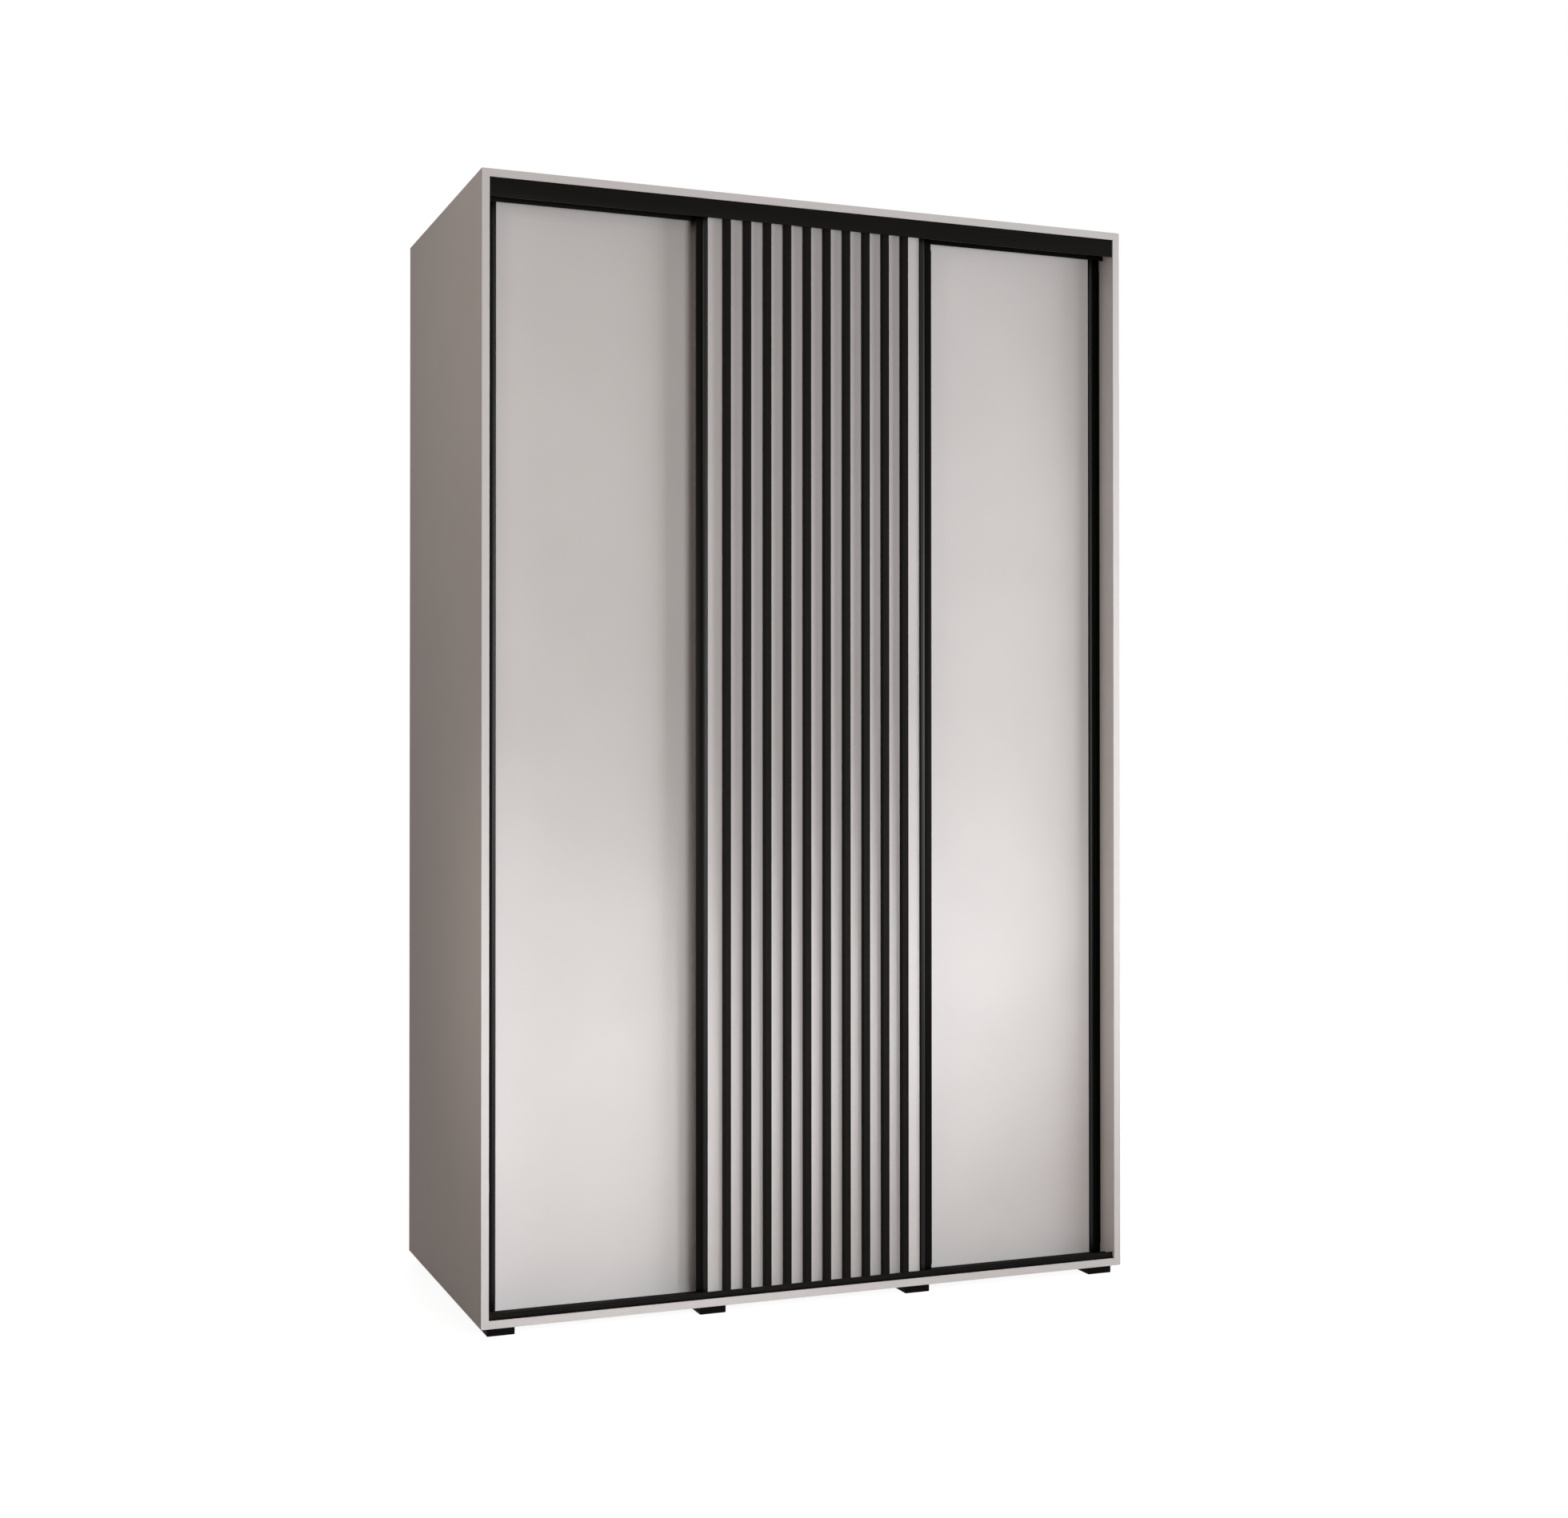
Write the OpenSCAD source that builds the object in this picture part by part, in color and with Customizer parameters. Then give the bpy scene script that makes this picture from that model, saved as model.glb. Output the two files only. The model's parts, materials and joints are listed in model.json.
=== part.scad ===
// Sliding door wardrobe in laminated board with black fittings.
// Two plain doors share the rear track and a slatted door runs on the front track.
// X runs along the front, Y into the depth, Z up. The origin lies on the floor under the
// middle of the wardrobe. A depth is measured from the front edges of the boards.

/* [Carcass] */
// Outer width of the carcass
carcass_w = 1468; // [1380:1:1600]
// Height of the carcass without its feet
carcass_h = 2320; // [2100:1:2450]
// Depth of the boards
board_d = 691; // [600:1:760]
// Thickness of the boards
board_t = 16; // [15:0.5:19]
// Thickness of the back sheets
back_t = 3; // [2.5:0.5:4]
// Margin between a back sheet and the outer faces
sheet_margin = 1; // [0.5:0.5:3]
// Clear width of the middle bay
middle_bay_w = 456; // [400:1:500]

/* [Feet] */
// Width and depth of a foot
foot_w = 57.5; // [40:0.5:70]
// Height of a foot
foot_h = 19; // [15:0.5:60]
// Distance of the feet from the front and back edges
foot_inset = 15; // [8:1:40]

/* [Interior] */
// Height of the lowest shelf above the floor, at its underside
first_shelf_z = 450; // [350:5:500]
// Height from one middle shelf to the next
shelf_pitch = 400; // [300:5:450]
// Clear height above the top shelves
top_bay_h = 327; // [250:1:500]
// Distance of a shelf's front edge behind the partition's
shelf_setback = 20; // [5:1:60]
// Play between a shelf's end and the board beside it
shelf_play = 0.5; // [0.3:0.1:1]
// Radius of a shelf pin
pin_r = 2.5; // [2:0.1:3]
// Depth of a shelf pin in its board
pin_hold = 7; // [5:0.5:7]
// Length of a shelf pin in the bay
pin_reach = 9; // [6:0.5:12]
// Radius of a hanging rod
rod_r = 12.5; // [10:0.5:15]
// Wall of a hanging rod
rod_wall = 1.2; // [0.8:0.1:2]
// Distance of a rod's centre below the shelf
rod_drop = 70; // [55:1:120]

/* [Top track] */
// Depth of the fascia's face behind the board edges
fascia_depth = 2.5; // [1:0.5:4]
// Height of the fascia and of the two lips behind it
fascia_h = 38.5; // [32:0.5:50]
// Wall of the top track
top_wall = 1.5; // [1:0.1:2]
// Distance from the front lane to the rear lane
lane_pitch = 38.5; // [37:0.5:44]
// Gap between a track's end and the side board
track_end_gap = 1; // [0.5:0.5:3]

/* [Bottom track] */
// Depth of the front lip's face behind the board edges
lip_depth = 6; // [4:0.1:6.6]
// Height of the front lip
lip_h = 13.7; // [8:0.1:16]
// Wall of the bottom track
bottom_wall = 1.2; // [1:0.1:1.4]
// Width of a running ridge
ridge_w = 3; // [2.4:0.1:3.2]
// Height of a running ridge above the track's base
ridge_h = 6.3; // [4:0.1:8]

/* [Doors] */
// Width of the middle door
middle_door_w = 544; // [500:1:600]
// Overlap of the middle door with each side door
door_overlap = 43; // [30:0.5:60]
// Gap between a side door and the side board
door_gap = 1.5; // [1.5:0.1:3]
// Thickness of a door panel
panel_t = 10; // [8:0.5:11]
// Depth of the front door's panel face behind the board edges
panel_depth = 22.5; // [22:0.5:24]
// Height of a door's bottom edge above the bottom board
door_clearance = 2.5; // [1.8:0.1:4]
// Length of a door inside the top track
top_engagement = 21.5; // [15:0.5:24]
// Thickness of a pile strip
pile_t = 1.2; // [0.8:0.1:1.2]

/* [Handles] */
// Width of the flat grip strip that the fingers hook behind
flange_w = 13.5; // [12.5:0.5:17]
// Width of the rounded bead beside the panel
bead_w = 13.5; // [13:0.5:18]
// Height of the bead above the panel face
bead_rise = 6; // [4.5:0.5:6]
// Depth of the groove that holds the panel
groove_d = 10; // [8:0.5:10]
// Wall of the handle profile and of the grip strip
handle_wall = 1.6; // [1.2:0.1:2]

/* [Slats] */
// Number of slats on the middle door
slat_count = 10; // [6:1:12]
// Width of a slat
slat_w = 14.8; // [10:0.1:18]
// Depth of a slat in front of the panel face
slat_d = 14; // [6:0.5:14]

/* [Rollers] */
// Radius of a wheel at the bottom of its groove
tread_r = 11.7; // [10:0.1:13]
// Depth of a wheel's groove
tread_groove = 2; // [1.5:0.1:2.5]
// Width of a wheel
wheel_w = 6; // [5:0.1:6]
// Radius of an axle pin
axle_r = 3; // [2.5:0.1:3.5]
// Width of a roller housing
housing_w = 50; // [44:1:70]
// Sheet thickness of a roller housing
housing_t = 1.5; // [1.2:0.1:1.8]

/* [Hidden] */
$fn = 48;
bore_play = 0.08;      // axle pin in its wheel
side_play = 0.6;       // wheel to housing cheek
tread_gap = 0.3;       // ridge to wheel groove
panel_play = 0.2;      // panel in the handle's groove
shoe_play = 0.5;       // guide shoe in its lane
shoe_t = 7;
stop_play = 0.5;
stop_h = 16;
ridge_play = 0.1;      // stop over its ridge
cut_over = 1;          // how far a cut runs out of a face
seat_play = 0.3;       // rod in its socket, pile strip to board

front_y = -(board_d + back_t) / 2;
inner_w = carcass_w - 2 * board_t;
bottom_z = foot_h;
floor_z = foot_h + board_t;
top_z = foot_h + carcass_h;
ceiling_z = top_z - board_t;
partition_x = (middle_bay_w + board_t) / 2;
track_len = inner_w - 2 * track_end_gap;

// handle, outer edge to inner edge
handle_w = flange_w + bead_w;
flange_rise = 3.5;     // grip strip's face in front of the panel face
grip_lip = 3.5;        // depth of the grip strip's turned edge
tongue_t = 1.2;        // tongue of the grip strip
tongue_d = 2.5;        // tongue behind the panel face
slot_wall = 1.3;       // profile outside the tongue's slot
bead_step = 1;         // straight foot of the bead
bead_sag = bead_rise - bead_step;
bead_r = (bead_w * bead_w / 4 + bead_sag * bead_sag) / (2 * bead_sag);
block_u = flange_w - tongue_t - slot_wall;
port_r = 1.75;
port_u = (block_u + handle_w - groove_d) / 2;
port_v = panel_t / 2;
handle_back = panel_t + panel_play + handle_wall;

slat_edge = 1.5;       // how much wider the outer gaps of the slat row are

// doors: middle of the door, width, lane
side_door_w = (inner_w - 2 * door_gap - middle_door_w + 2 * door_overlap) / 2;
side_door_x = inner_w / 2 - door_gap - side_door_w / 2;
LEFT = [-side_door_x, side_door_w, 1];
MIDDLE = [0, middle_door_w, 0];
RIGHT = [side_door_x, side_door_w, 1];
door_z = floor_z + door_clearance;
door_top = ceiling_z - fascia_h + top_engagement;
door_h = door_top - door_z;

// running gear, from the panel's back
housing_gap = 3;       // handle to roller housing
wheel_off = housing_t + side_play + wheel_w / 2;
housing_d = 2 * housing_t + 2 * side_play + wheel_w;
axle_z = floor_z + bottom_wall + ridge_h + tread_gap + tread_r;
housing_drop = 10.5;   // housing's lower edge below the axle
housing_z = axle_z - housing_drop;
cheek_h = tread_r + tread_groove + 15;
plate_h = 60;
plate_screw_x = 14;    // plate's middle to its screws
plate_screw_z = 13;    // plate's upper edge to its screws
slot_travel = 5;       // height adjustment, up and down
panel_skin = 2;        // board left in front of the plate's screws
axle_head_t = 1;
axle_head_rim = 1.5;
track_rear_gap = 2;    // rear housings to the track's rear lip
track_back = lane_y(1) + panel_t + housing_d + track_rear_gap + bottom_wall;

// interior
track_to_partition = 1.5;
partition_y = track_back + track_to_partition;
partition_d = board_d - partition_y;
inner_h = ceiling_z - floor_z;
shelf_y = partition_y + shelf_setback;
shelf_d = board_d - shelf_y - shelf_play;
top_shelf_z = ceiling_z - top_bay_h - board_t;
front_pin_inset = 50;  // shelf's front edge to its pins
rear_inset = 60;       // rear pins and cams to the boards' rear edges
pin_ys = [shelf_y + front_pin_inset, board_d - rear_inset];
middle_zs = [for (i = [0 : 2]) first_shelf_z + i * shelf_pitch];
LEFT_BAY = [-inner_w / 2, -partition_x - board_t / 2, [top_shelf_z]];
MIDDLE_BAY = [-middle_bay_w / 2, middle_bay_w / 2, concat(middle_zs, [top_shelf_z])];
RIGHT_BAY = [partition_x + board_t / 2, inner_w / 2, [first_shelf_z, top_shelf_z]];
rod_y = partition_y + partition_d / 2;
rod_z = top_shelf_z - rod_drop;
socket_t = 3;
socket_reach = 12;
socket_wall = 2.5;
socket_r = rod_r + 9;
spigot_r = 2.5;
spigot_inset = 6;      // spigot centre to the socket plate's edge

// cam fittings
cam_r = 7.5;
cam_depth = 12.5;
cam_inset = 24;        // cam centre to the board's end
bolt_r = 3;
bolt_hold = 11;        // length of a bolt in its board
front_cam_inset = 45;  // partition's front edge to its cams
cam_ys = [partition_y + front_cam_inset, board_d - rear_inset];
cam_slot = [9, 1.6, 2];
bolt_play = 0.5;

// nails and screws
nail_r = 0.9;
nail_head_r = 2.5;
nail_head_t = 0.8;
nail_l = 20;
nail_rows = 6;
nail_margin = 4 * board_t;   // first and last row to the carcass's ends
nail_spread = 90;      // nails of the top and bottom boards, from a bay's middle
screw_r = 2;
screw_head_r = 4;
screw_head_t = 2;
screw_hold = 11;
small_screw_r = 1.75;
shoe_screw_hold = 18;
foot_pocket = 7;
pocket_play = 1;       // around a screw head in its pocket
end_screw_inset = 100; // last track screw to the side board
screw_xs = [for (i = [-2 : 2]) i * (inner_w / 2 - end_screw_inset) / 2];
lane_middles = [for (k = [0, 1]) fascia_depth + (k + 0.5) * lane_pitch + top_wall / 2];
base_screw_y = (lane_y(0) + panel_t + housing_d + lane_y(1) - bead_rise) / 2;

foot_side_x = carcass_w / 2 - board_t - foot_w / 2;
foot_xs = [-foot_side_x, -partition_x, partition_x, foot_side_x];
foot_ys = [foot_inset + foot_w / 2, board_d - foot_inset - foot_w / 2];

// depth of a lane's panel face behind the board edges
function lane_y(lane) = panel_depth + lane * lane_pitch;
// the row's Y of a depth
function at_y(depth) = front_y + depth;
function ridge_y(lane) = lane_y(lane) + panel_t + wheel_off;

/* ---- joints of the boards ---- */

// The child's +X points to the end of the board that holds the cam, its +Z into the wardrobe.
module at_board_joints() {
    for (sx = [-1, 1], sz = [-1, 1], y = cam_ys)
        translate([sx * (inner_w / 2 - cam_inset), at_y(y), sz < 0 ? floor_z : ceiling_z])
            mirror([sx < 0 ? 1 : 0, 0, 0])
                mirror([0, 0, sz > 0 ? 1 : 0])
                    children();
}

// The child's +X points to the partition's end, its +Z into the middle bay.
module at_partition_joints() {
    for (sx = [-1, 1], sz = [-1, 1], y = cam_ys)
        mirror([sx > 0 ? 1 : 0, 0, 0])
            translate([-middle_bay_w / 2, at_y(y),
                       sz < 0 ? floor_z + cam_inset : ceiling_z - cam_inset])
                rotate([0, 90, 0])
                    mirror([sz > 0 ? 1 : 0, 0, 0])
                        children();
}

module cam() {
    difference() {
        translate([0, 0, -cam_depth]) cylinder(r = cam_r, h = cam_depth);
        translate([0, 0, -board_t / 2]) rotate([0, 90, 0])
            cylinder(r = bolt_r, h = cam_r + cut_over);
        for (a = [45, 135])
            rotate([0, 0, a]) translate([-cam_slot[0] / 2, -cam_slot[1] / 2, -cam_slot[2]])
                cube(cam_slot + [0, 0, cut_over]);
    }
}

module cam_bolt() {
    translate([0, 0, -board_t / 2]) rotate([0, 90, 0])
        cylinder(r = bolt_r, h = cam_inset + bolt_hold);
}

module cam_cut() {
    translate([0, 0, -cam_depth]) cylinder(r = cam_r, h = cam_depth + cut_over);
    translate([0, 0, -board_t / 2]) rotate([0, 90, 0])
        cylinder(r = bolt_r + bolt_play, h = cam_inset + cut_over);
}

module bolt_cut() {
    translate([cam_inset - cut_over, 0, -board_t / 2]) rotate([0, 90, 0])
        cylinder(r = bolt_r, h = bolt_hold + cut_over);
}

/* ---- shelf pins and rod sockets ---- */

// Cylinders along X from a wall at x, dir = 1 where the bay lies on the +X side of the wall.
module pin_row(x, dir, zs, r, hold, reach) {
    for (z = zs, y = pin_ys)
        translate([dir > 0 ? x - hold : x - reach, at_y(y), z - pin_r]) rotate([0, 90, 0])
            cylinder(r = r, h = hold + reach);
}

module bay_pins(bay) {
    pin_row(bay[0], 1, bay[2], pin_r, pin_hold, pin_reach);
    pin_row(bay[1], -1, bay[2], pin_r, pin_hold, pin_reach);
}

module pin_cut(x, dir, zs) {
    pin_row(x, dir, zs, pin_r, pin_hold, cut_over);
}

// A rod socket on the wall at x, with two spigots in the wall.
module rod_socket(x, dir) {
    translate([x, at_y(rod_y), rod_z]) rotate([0, 90 * dir, 0]) {
        cylinder(r = socket_r, h = socket_t);
        difference() {
            cylinder(r = rod_r + seat_play + socket_wall, h = socket_t + socket_reach);
            translate([0, 0, socket_t]) cylinder(r = rod_r + seat_play, h = socket_reach + cut_over);
        }
        spigots(pin_hold, 0);
    }
}

module spigots(hold, over) {
    for (s = [-1, 1])
        translate([s * (socket_r - spigot_inset), 0, -hold]) cylinder(r = spigot_r, h = hold + over);
}

module socket_cut(x, dir) {
    translate([x, at_y(rod_y), rod_z]) rotate([0, 90 * dir, 0]) spigots(pin_hold, cut_over);
}

/* ---- nails of the back sheets ---- */

module at_nails() {
    z_step = (carcass_h - 2 * nail_margin) / (nail_rows - 1);
    xs = [carcass_w / 2 - board_t / 2, partition_x + board_t / 4, partition_x - board_t / 4];
    side_bay_x = (carcass_w / 2 + partition_x) / 2;
    bay_xs = [side_bay_x - nail_spread, side_bay_x + nail_spread, nail_spread];
    for (s = [-1, 1]) {
        for (x = xs, i = [0 : nail_rows - 1])
            translate([s * x, at_y(board_d + back_t), bottom_z + nail_margin + i * z_step]) children();
        for (x = bay_xs, z = [bottom_z + board_t / 2, top_z - board_t / 2])
            translate([s * x, at_y(board_d + back_t), z]) children();
    }
}

module nail() {
    rotate([90, 0, 0]) {
        cylinder(r = nail_head_r, h = nail_head_t);
        cylinder(r = nail_r, h = nail_l);
    }
}

module nail_shaft_cut() {
    rotate([90, 0, 0]) translate([0, 0, back_t - cut_over])
        cylinder(r = nail_r, h = nail_l - back_t + cut_over);
}

module nail_sheet_cut() {
    rotate([90, 0, 0]) {
        translate([0, 0, -cut_over]) cylinder(r = nail_head_r, h = nail_head_t + cut_over);
        cylinder(r = nail_r, h = back_t + cut_over);
    }
}

/* ---- screws ---- */

// A screw that points down, with the underside of its head at the origin.
module screw(r, l) {
    cylinder(r = screw_head_r, h = screw_head_t);
    translate([0, 0, -l]) cylinder(r = r, h = l);
}

module at_top_screws() {
    for (x = screw_xs, y = lane_middles)
        translate([x, at_y(y), ceiling_z - top_wall]) rotate([180, 0, 0]) children();
}

module at_base_screws() {
    for (x = screw_xs)
        translate([x, at_y(base_screw_y), floor_z + bottom_wall]) children();
}

module at_feet() {
    for (x = foot_xs, y = foot_ys)
        translate([x, at_y(y), 0]) children();
}

module screw_cut(r, hold, wall) {
    translate([0, 0, -wall - hold]) cylinder(r = r, h = hold + wall + cut_over);
}

/* ---- boards ---- */

module side_left() {
    color("#d8d3d1")
        difference() {
            translate([-carcass_w / 2, at_y(0), bottom_z]) cube([board_t, board_d, carcass_h]);
            at_board_joints() bolt_cut();
            pin_cut(LEFT_BAY[0], 1, LEFT_BAY[2]);
            socket_cut(LEFT_BAY[0], 1);
            at_nails() nail_shaft_cut();
        }
}

module side_right() {
    color("#d8d3d1")
        difference() {
            translate([inner_w / 2, at_y(0), bottom_z]) cube([board_t, board_d, carcass_h]);
            at_board_joints() bolt_cut();
            pin_cut(RIGHT_BAY[1], -1, RIGHT_BAY[2]);
            socket_cut(RIGHT_BAY[1], -1);
            at_nails() nail_shaft_cut();
        }
}

module top_panel() {
    color("#d8d3d1")
        difference() {
            translate([-inner_w / 2, at_y(0), ceiling_z]) cube([inner_w, board_d, board_t]);
            at_board_joints() cam_cut();
            at_partition_joints() bolt_cut();
            at_top_screws() screw_cut(screw_r, screw_hold, top_wall);
            at_nails() nail_shaft_cut();
        }
}

module bottom_panel() {
    color("#d8d3d1")
        difference() {
            translate([-inner_w / 2, at_y(0), bottom_z]) cube([inner_w, board_d, board_t]);
            at_board_joints() cam_cut();
            at_partition_joints() bolt_cut();
            at_base_screws() screw_cut(screw_r, screw_hold, bottom_wall);
            at_feet() translate([0, 0, bottom_z - cut_over])
                cylinder(r = screw_r, h = screw_hold + cut_over);
            at_nails() nail_shaft_cut();
        }
}

// Upright between two bays, s = -1 for the left one.
module partition(s) {
    outer_bay = s < 0 ? LEFT_BAY : RIGHT_BAY;
    outer_x = s * (partition_x + board_t / 2);
    color("#d8d3d1")
        difference() {
            translate([s * partition_x - board_t / 2, at_y(partition_y), floor_z])
                cube([board_t, partition_d, inner_h]);
            at_partition_joints() cam_cut();
            pin_cut(outer_x, s, outer_bay[2]);
            pin_cut(s * middle_bay_w / 2, -s, MIDDLE_BAY[2]);
            socket_cut(outer_x, s);
            at_nails() nail_shaft_cut();
        }
}

module back_sheet(x0, x1) {
    color("#dedad7")
        difference() {
            translate([x0, at_y(board_d), bottom_z + sheet_margin])
                cube([x1 - x0, back_t, carcass_h - 2 * sheet_margin]);
            at_nails() nail_sheet_cut();
        }
}

module back_middle() {
    back_sheet(-partition_x + sheet_margin / 2, partition_x - sheet_margin / 2);
}

module back_left() {
    back_sheet(-carcass_w / 2 + sheet_margin, -partition_x - sheet_margin / 2);
}

module back_right() {
    back_sheet(partition_x + sheet_margin / 2, carcass_w / 2 - sheet_margin);
}

module back_nails() {
    color("#9a9a9c") at_nails() nail();
}

// Shelf in a bay with its underside at z.
module shelf(bay, z) {
    color("#d8d3d1")
        translate([bay[0] + shelf_play, at_y(shelf_y), z])
            cube([bay[1] - bay[0] - 2 * shelf_play, shelf_d, board_t]);
}

/* ---- interior fittings ---- */

module rod(bay) {
    ends = socket_t + seat_play;
    color("#c9cbcd")
        translate([bay[0] + ends, at_y(rod_y), rod_z]) rotate([0, 90, 0])
            difference() {
                cylinder(r = rod_r, h = bay[1] - bay[0] - 2 * ends);
                translate([0, 0, -cut_over])
                    cylinder(r = rod_r - rod_wall, h = bay[1] - bay[0] - 2 * ends + 2 * cut_over);
            }
}

module rod_sockets() {
    color("#b9bbbd")
        for (bay = [LEFT_BAY, RIGHT_BAY]) {
            rod_socket(bay[0], 1);
            rod_socket(bay[1], -1);
        }
}

module shelf_pins() {
    color("#b9bbbd")
        for (bay = [LEFT_BAY, MIDDLE_BAY, RIGHT_BAY]) bay_pins(bay);
}

module cam_locks() {
    color("#a8a9ab") {
        at_board_joints() cam();
        at_partition_joints() cam();
    }
}

module cam_bolts() {
    color("#a8a9ab") {
        at_board_joints() cam_bolt();
        at_partition_joints() cam_bolt();
    }
}

/* ---- feet ---- */

module feet() {
    color("#161413")
        at_feet()
            difference() {
                translate([-foot_w / 2, -foot_w / 2, 0]) cube([foot_w, foot_w, foot_h]);
                translate([0, 0, -cut_over]) cylinder(r = screw_r, h = foot_h + 2 * cut_over);
                translate([0, 0, -cut_over])
                    cylinder(r = screw_head_r + pocket_play, h = foot_pocket + cut_over);
            }
}

module foot_screws() {
    color("#a8a9ab")
        at_feet() translate([0, 0, foot_pocket]) rotate([180, 0, 0])
            screw(screw_r, foot_h - foot_pocket + screw_hold);
}

/* ---- tracks ---- */

// Extrudes a section drawn in depth and height along the width of the wardrobe.
module along_x(x0, l) {
    translate([x0, front_y, 0]) rotate([90, 0, 90]) linear_extrude(l) children();
}

module top_track() {
    color("#191718")
        difference() {
            along_x(-track_len / 2, track_len) {
                translate([fascia_depth, ceiling_z - top_wall])
                    square([2 * lane_pitch + top_wall, top_wall]);
                for (k = [0 : 2])
                    translate([fascia_depth + k * lane_pitch, ceiling_z - fascia_h])
                        square([top_wall, fascia_h]);
            }
            at_top_screws() screw_cut(screw_r, cut_over, top_wall);
        }
}

module bottom_track_section() {
    toe = lip_depth - 4;                // the lip's foot slopes out to here
    toe_h = 3;
    rear_lip_h = 4;
    lip_back = lip_depth + bottom_wall;
    rear_lip = track_back - bottom_wall;
    translate([0, floor_z])
        polygon([
            [toe, 0], [track_back, 0], [track_back, rear_lip_h], [rear_lip, rear_lip_h],
            [rear_lip, bottom_wall], [lip_back, bottom_wall], [lip_back, lip_h],
            [lip_depth, lip_h], [lip_depth, toe_h], [toe, bottom_wall]
        ]);
    for (lane = [0, 1])
        translate([ridge_y(lane), floor_z]) {
            translate([-ridge_w / 2, 0]) square([ridge_w, bottom_wall + ridge_h - ridge_w / 2]);
            translate([0, bottom_wall + ridge_h - ridge_w / 2]) circle(ridge_w / 2);
        }
}

module bottom_track() {
    color("#1b1918")
        difference() {
            along_x(-track_len / 2, track_len) bottom_track_section();
            at_base_screws() screw_cut(screw_r, cut_over, bottom_wall);
        }
}

module track_screws() {
    color("#2a2a2b") {
        at_top_screws() screw(screw_r, top_wall + screw_hold);
        at_base_screws() screw(screw_r, bottom_wall + screw_hold);
    }
}

// Plastic stops over the ends of the rear ridge. A side door's roller housing meets them.
module track_stops() {
    stop_l = door_gap + handle_w + housing_gap - 2 * stop_play;
    color("#232122")
        for (s = [-1, 1])
            mirror([s > 0 ? 1 : 0, 0, 0])
                difference() {
                    translate([-inner_w / 2 + stop_play, at_y(lane_y(1) + handle_back + side_play),
                               floor_z + bottom_wall])
                        cube([stop_l, panel_t + housing_d - handle_back - side_play, stop_h]);
                    translate([-inner_w / 2, at_y(ridge_y(1)) - ridge_w / 2 - ridge_play, floor_z])
                        cube([stop_l + 2 * cut_over, ridge_w + 2 * ridge_play,
                              bottom_wall + ridge_h + ridge_play]);
                }
}

/* ---- doors ---- */

function door_x0(door) = door[0] - door[1] / 2;

// The child is drawn for the left edge of the door, with the edge at x = 0.
module at_edge(door, s) {
    translate([door[0], at_y(lane_y(door[2])), 0])
        mirror([s > 0 ? 1 : 0, 0, 0])
            translate([-door[1] / 2, 0, 0])
                children();
}

module at_both_edges(door) {
    for (s = [-1, 1]) at_edge(door, s) children();
}

// Sections of a handle: u from its outer edge, v from the panel face into the depth.
module profile_section() {
    front = flange_rise - handle_wall;
    difference() {
        union() {
            translate([block_u, -front]) square([flange_w - block_u, front]);
            translate([block_u, 0]) square([handle_w - groove_d - block_u, handle_back]);
            intersection() {
                translate([flange_w + bead_w / 2, bead_r - bead_rise]) circle(bead_r, $fn = 96);
                translate([flange_w, -bead_rise]) square([bead_w, bead_sag]);
            }
            translate([flange_w, -bead_step]) square([bead_w, bead_step]);
            translate([handle_w - groove_d, handle_back - handle_wall])
                square([groove_d, handle_wall]);
        }
        tongue_section();
        translate([port_u, port_v]) circle(port_r);
    }
}

module tongue_section() {
    translate([flange_w - tongue_t, -flange_rise]) square([tongue_t, flange_rise + tongue_d]);
}

module grip_section() {
    translate([0, -flange_rise]) square([flange_w, handle_wall]);
    translate([0, -flange_rise]) square([handle_wall, grip_lip]);
    tongue_section();
}

// Profiles that hold the panel's upright edges.
module door_profiles(door) {
    color("#1a1817")
        at_both_edges(door) translate([0, 0, door_z]) linear_extrude(door_h) profile_section();
}

// Grip strips pressed into the profiles.
module door_grips(door) {
    color("#1f1d1b")
        at_both_edges(door) translate([0, 0, door_z]) linear_extrude(door_h) grip_section();
}

module door_panel(door) {
    panel_x = handle_w - groove_d;
    color("#dcd8d6")
        difference() {
            translate([door_x0(door) + panel_x, at_y(lane_y(door[2])), door_z])
                cube([door[1] - 2 * panel_x, panel_t, door_h]);
            at_both_edges(door) at_housing_screws()
                screw_cut(small_screw_r, panel_t - panel_skin, housing_t);
        }
}

module middle_door_slats() {
    field = MIDDLE[1] - 2 * handle_w;
    gap = (field - slat_count * slat_w - 2 * slat_edge) / (slat_count + 1);
    color("#1c1a18")
        for (i = [0 : slat_count - 1])
            translate([door_x0(MIDDLE) + handle_w + slat_edge + gap + i * (gap + slat_w),
                       at_y(lane_y(MIDDLE[2]) - slat_d), door_z])
                cube([slat_w, slat_d, door_h]);
}

// Guide shoes on the top ends of the profiles.
module door_shoes(door) {
    lane_w = lane_pitch - top_wall - 2 * shoe_play;
    lane_front = fascia_depth + top_wall + shoe_play - panel_depth;
    color("#262425")
        at_both_edges(door)
            difference() {
                translate([0, lane_front, door_top]) cube([handle_w, lane_w, shoe_t]);
                translate([port_u, port_v, door_top - cut_over])
                    cylinder(r = small_screw_r, h = shoe_t + 2 * cut_over);
            }
}

// Middle of a roller housing's plate, on the panel's back.
module at_housing() {
    translate([handle_w + housing_gap + housing_w / 2, panel_t, 0]) children();
}

// The child's +Z points out of the panel's back.
module at_housing_screws() {
    at_housing()
        for (s = [-1, 1])
            translate([s * plate_screw_x, housing_t, housing_z + plate_h - plate_screw_z])
                rotate([-90, 0, 0]) children();
}

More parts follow.
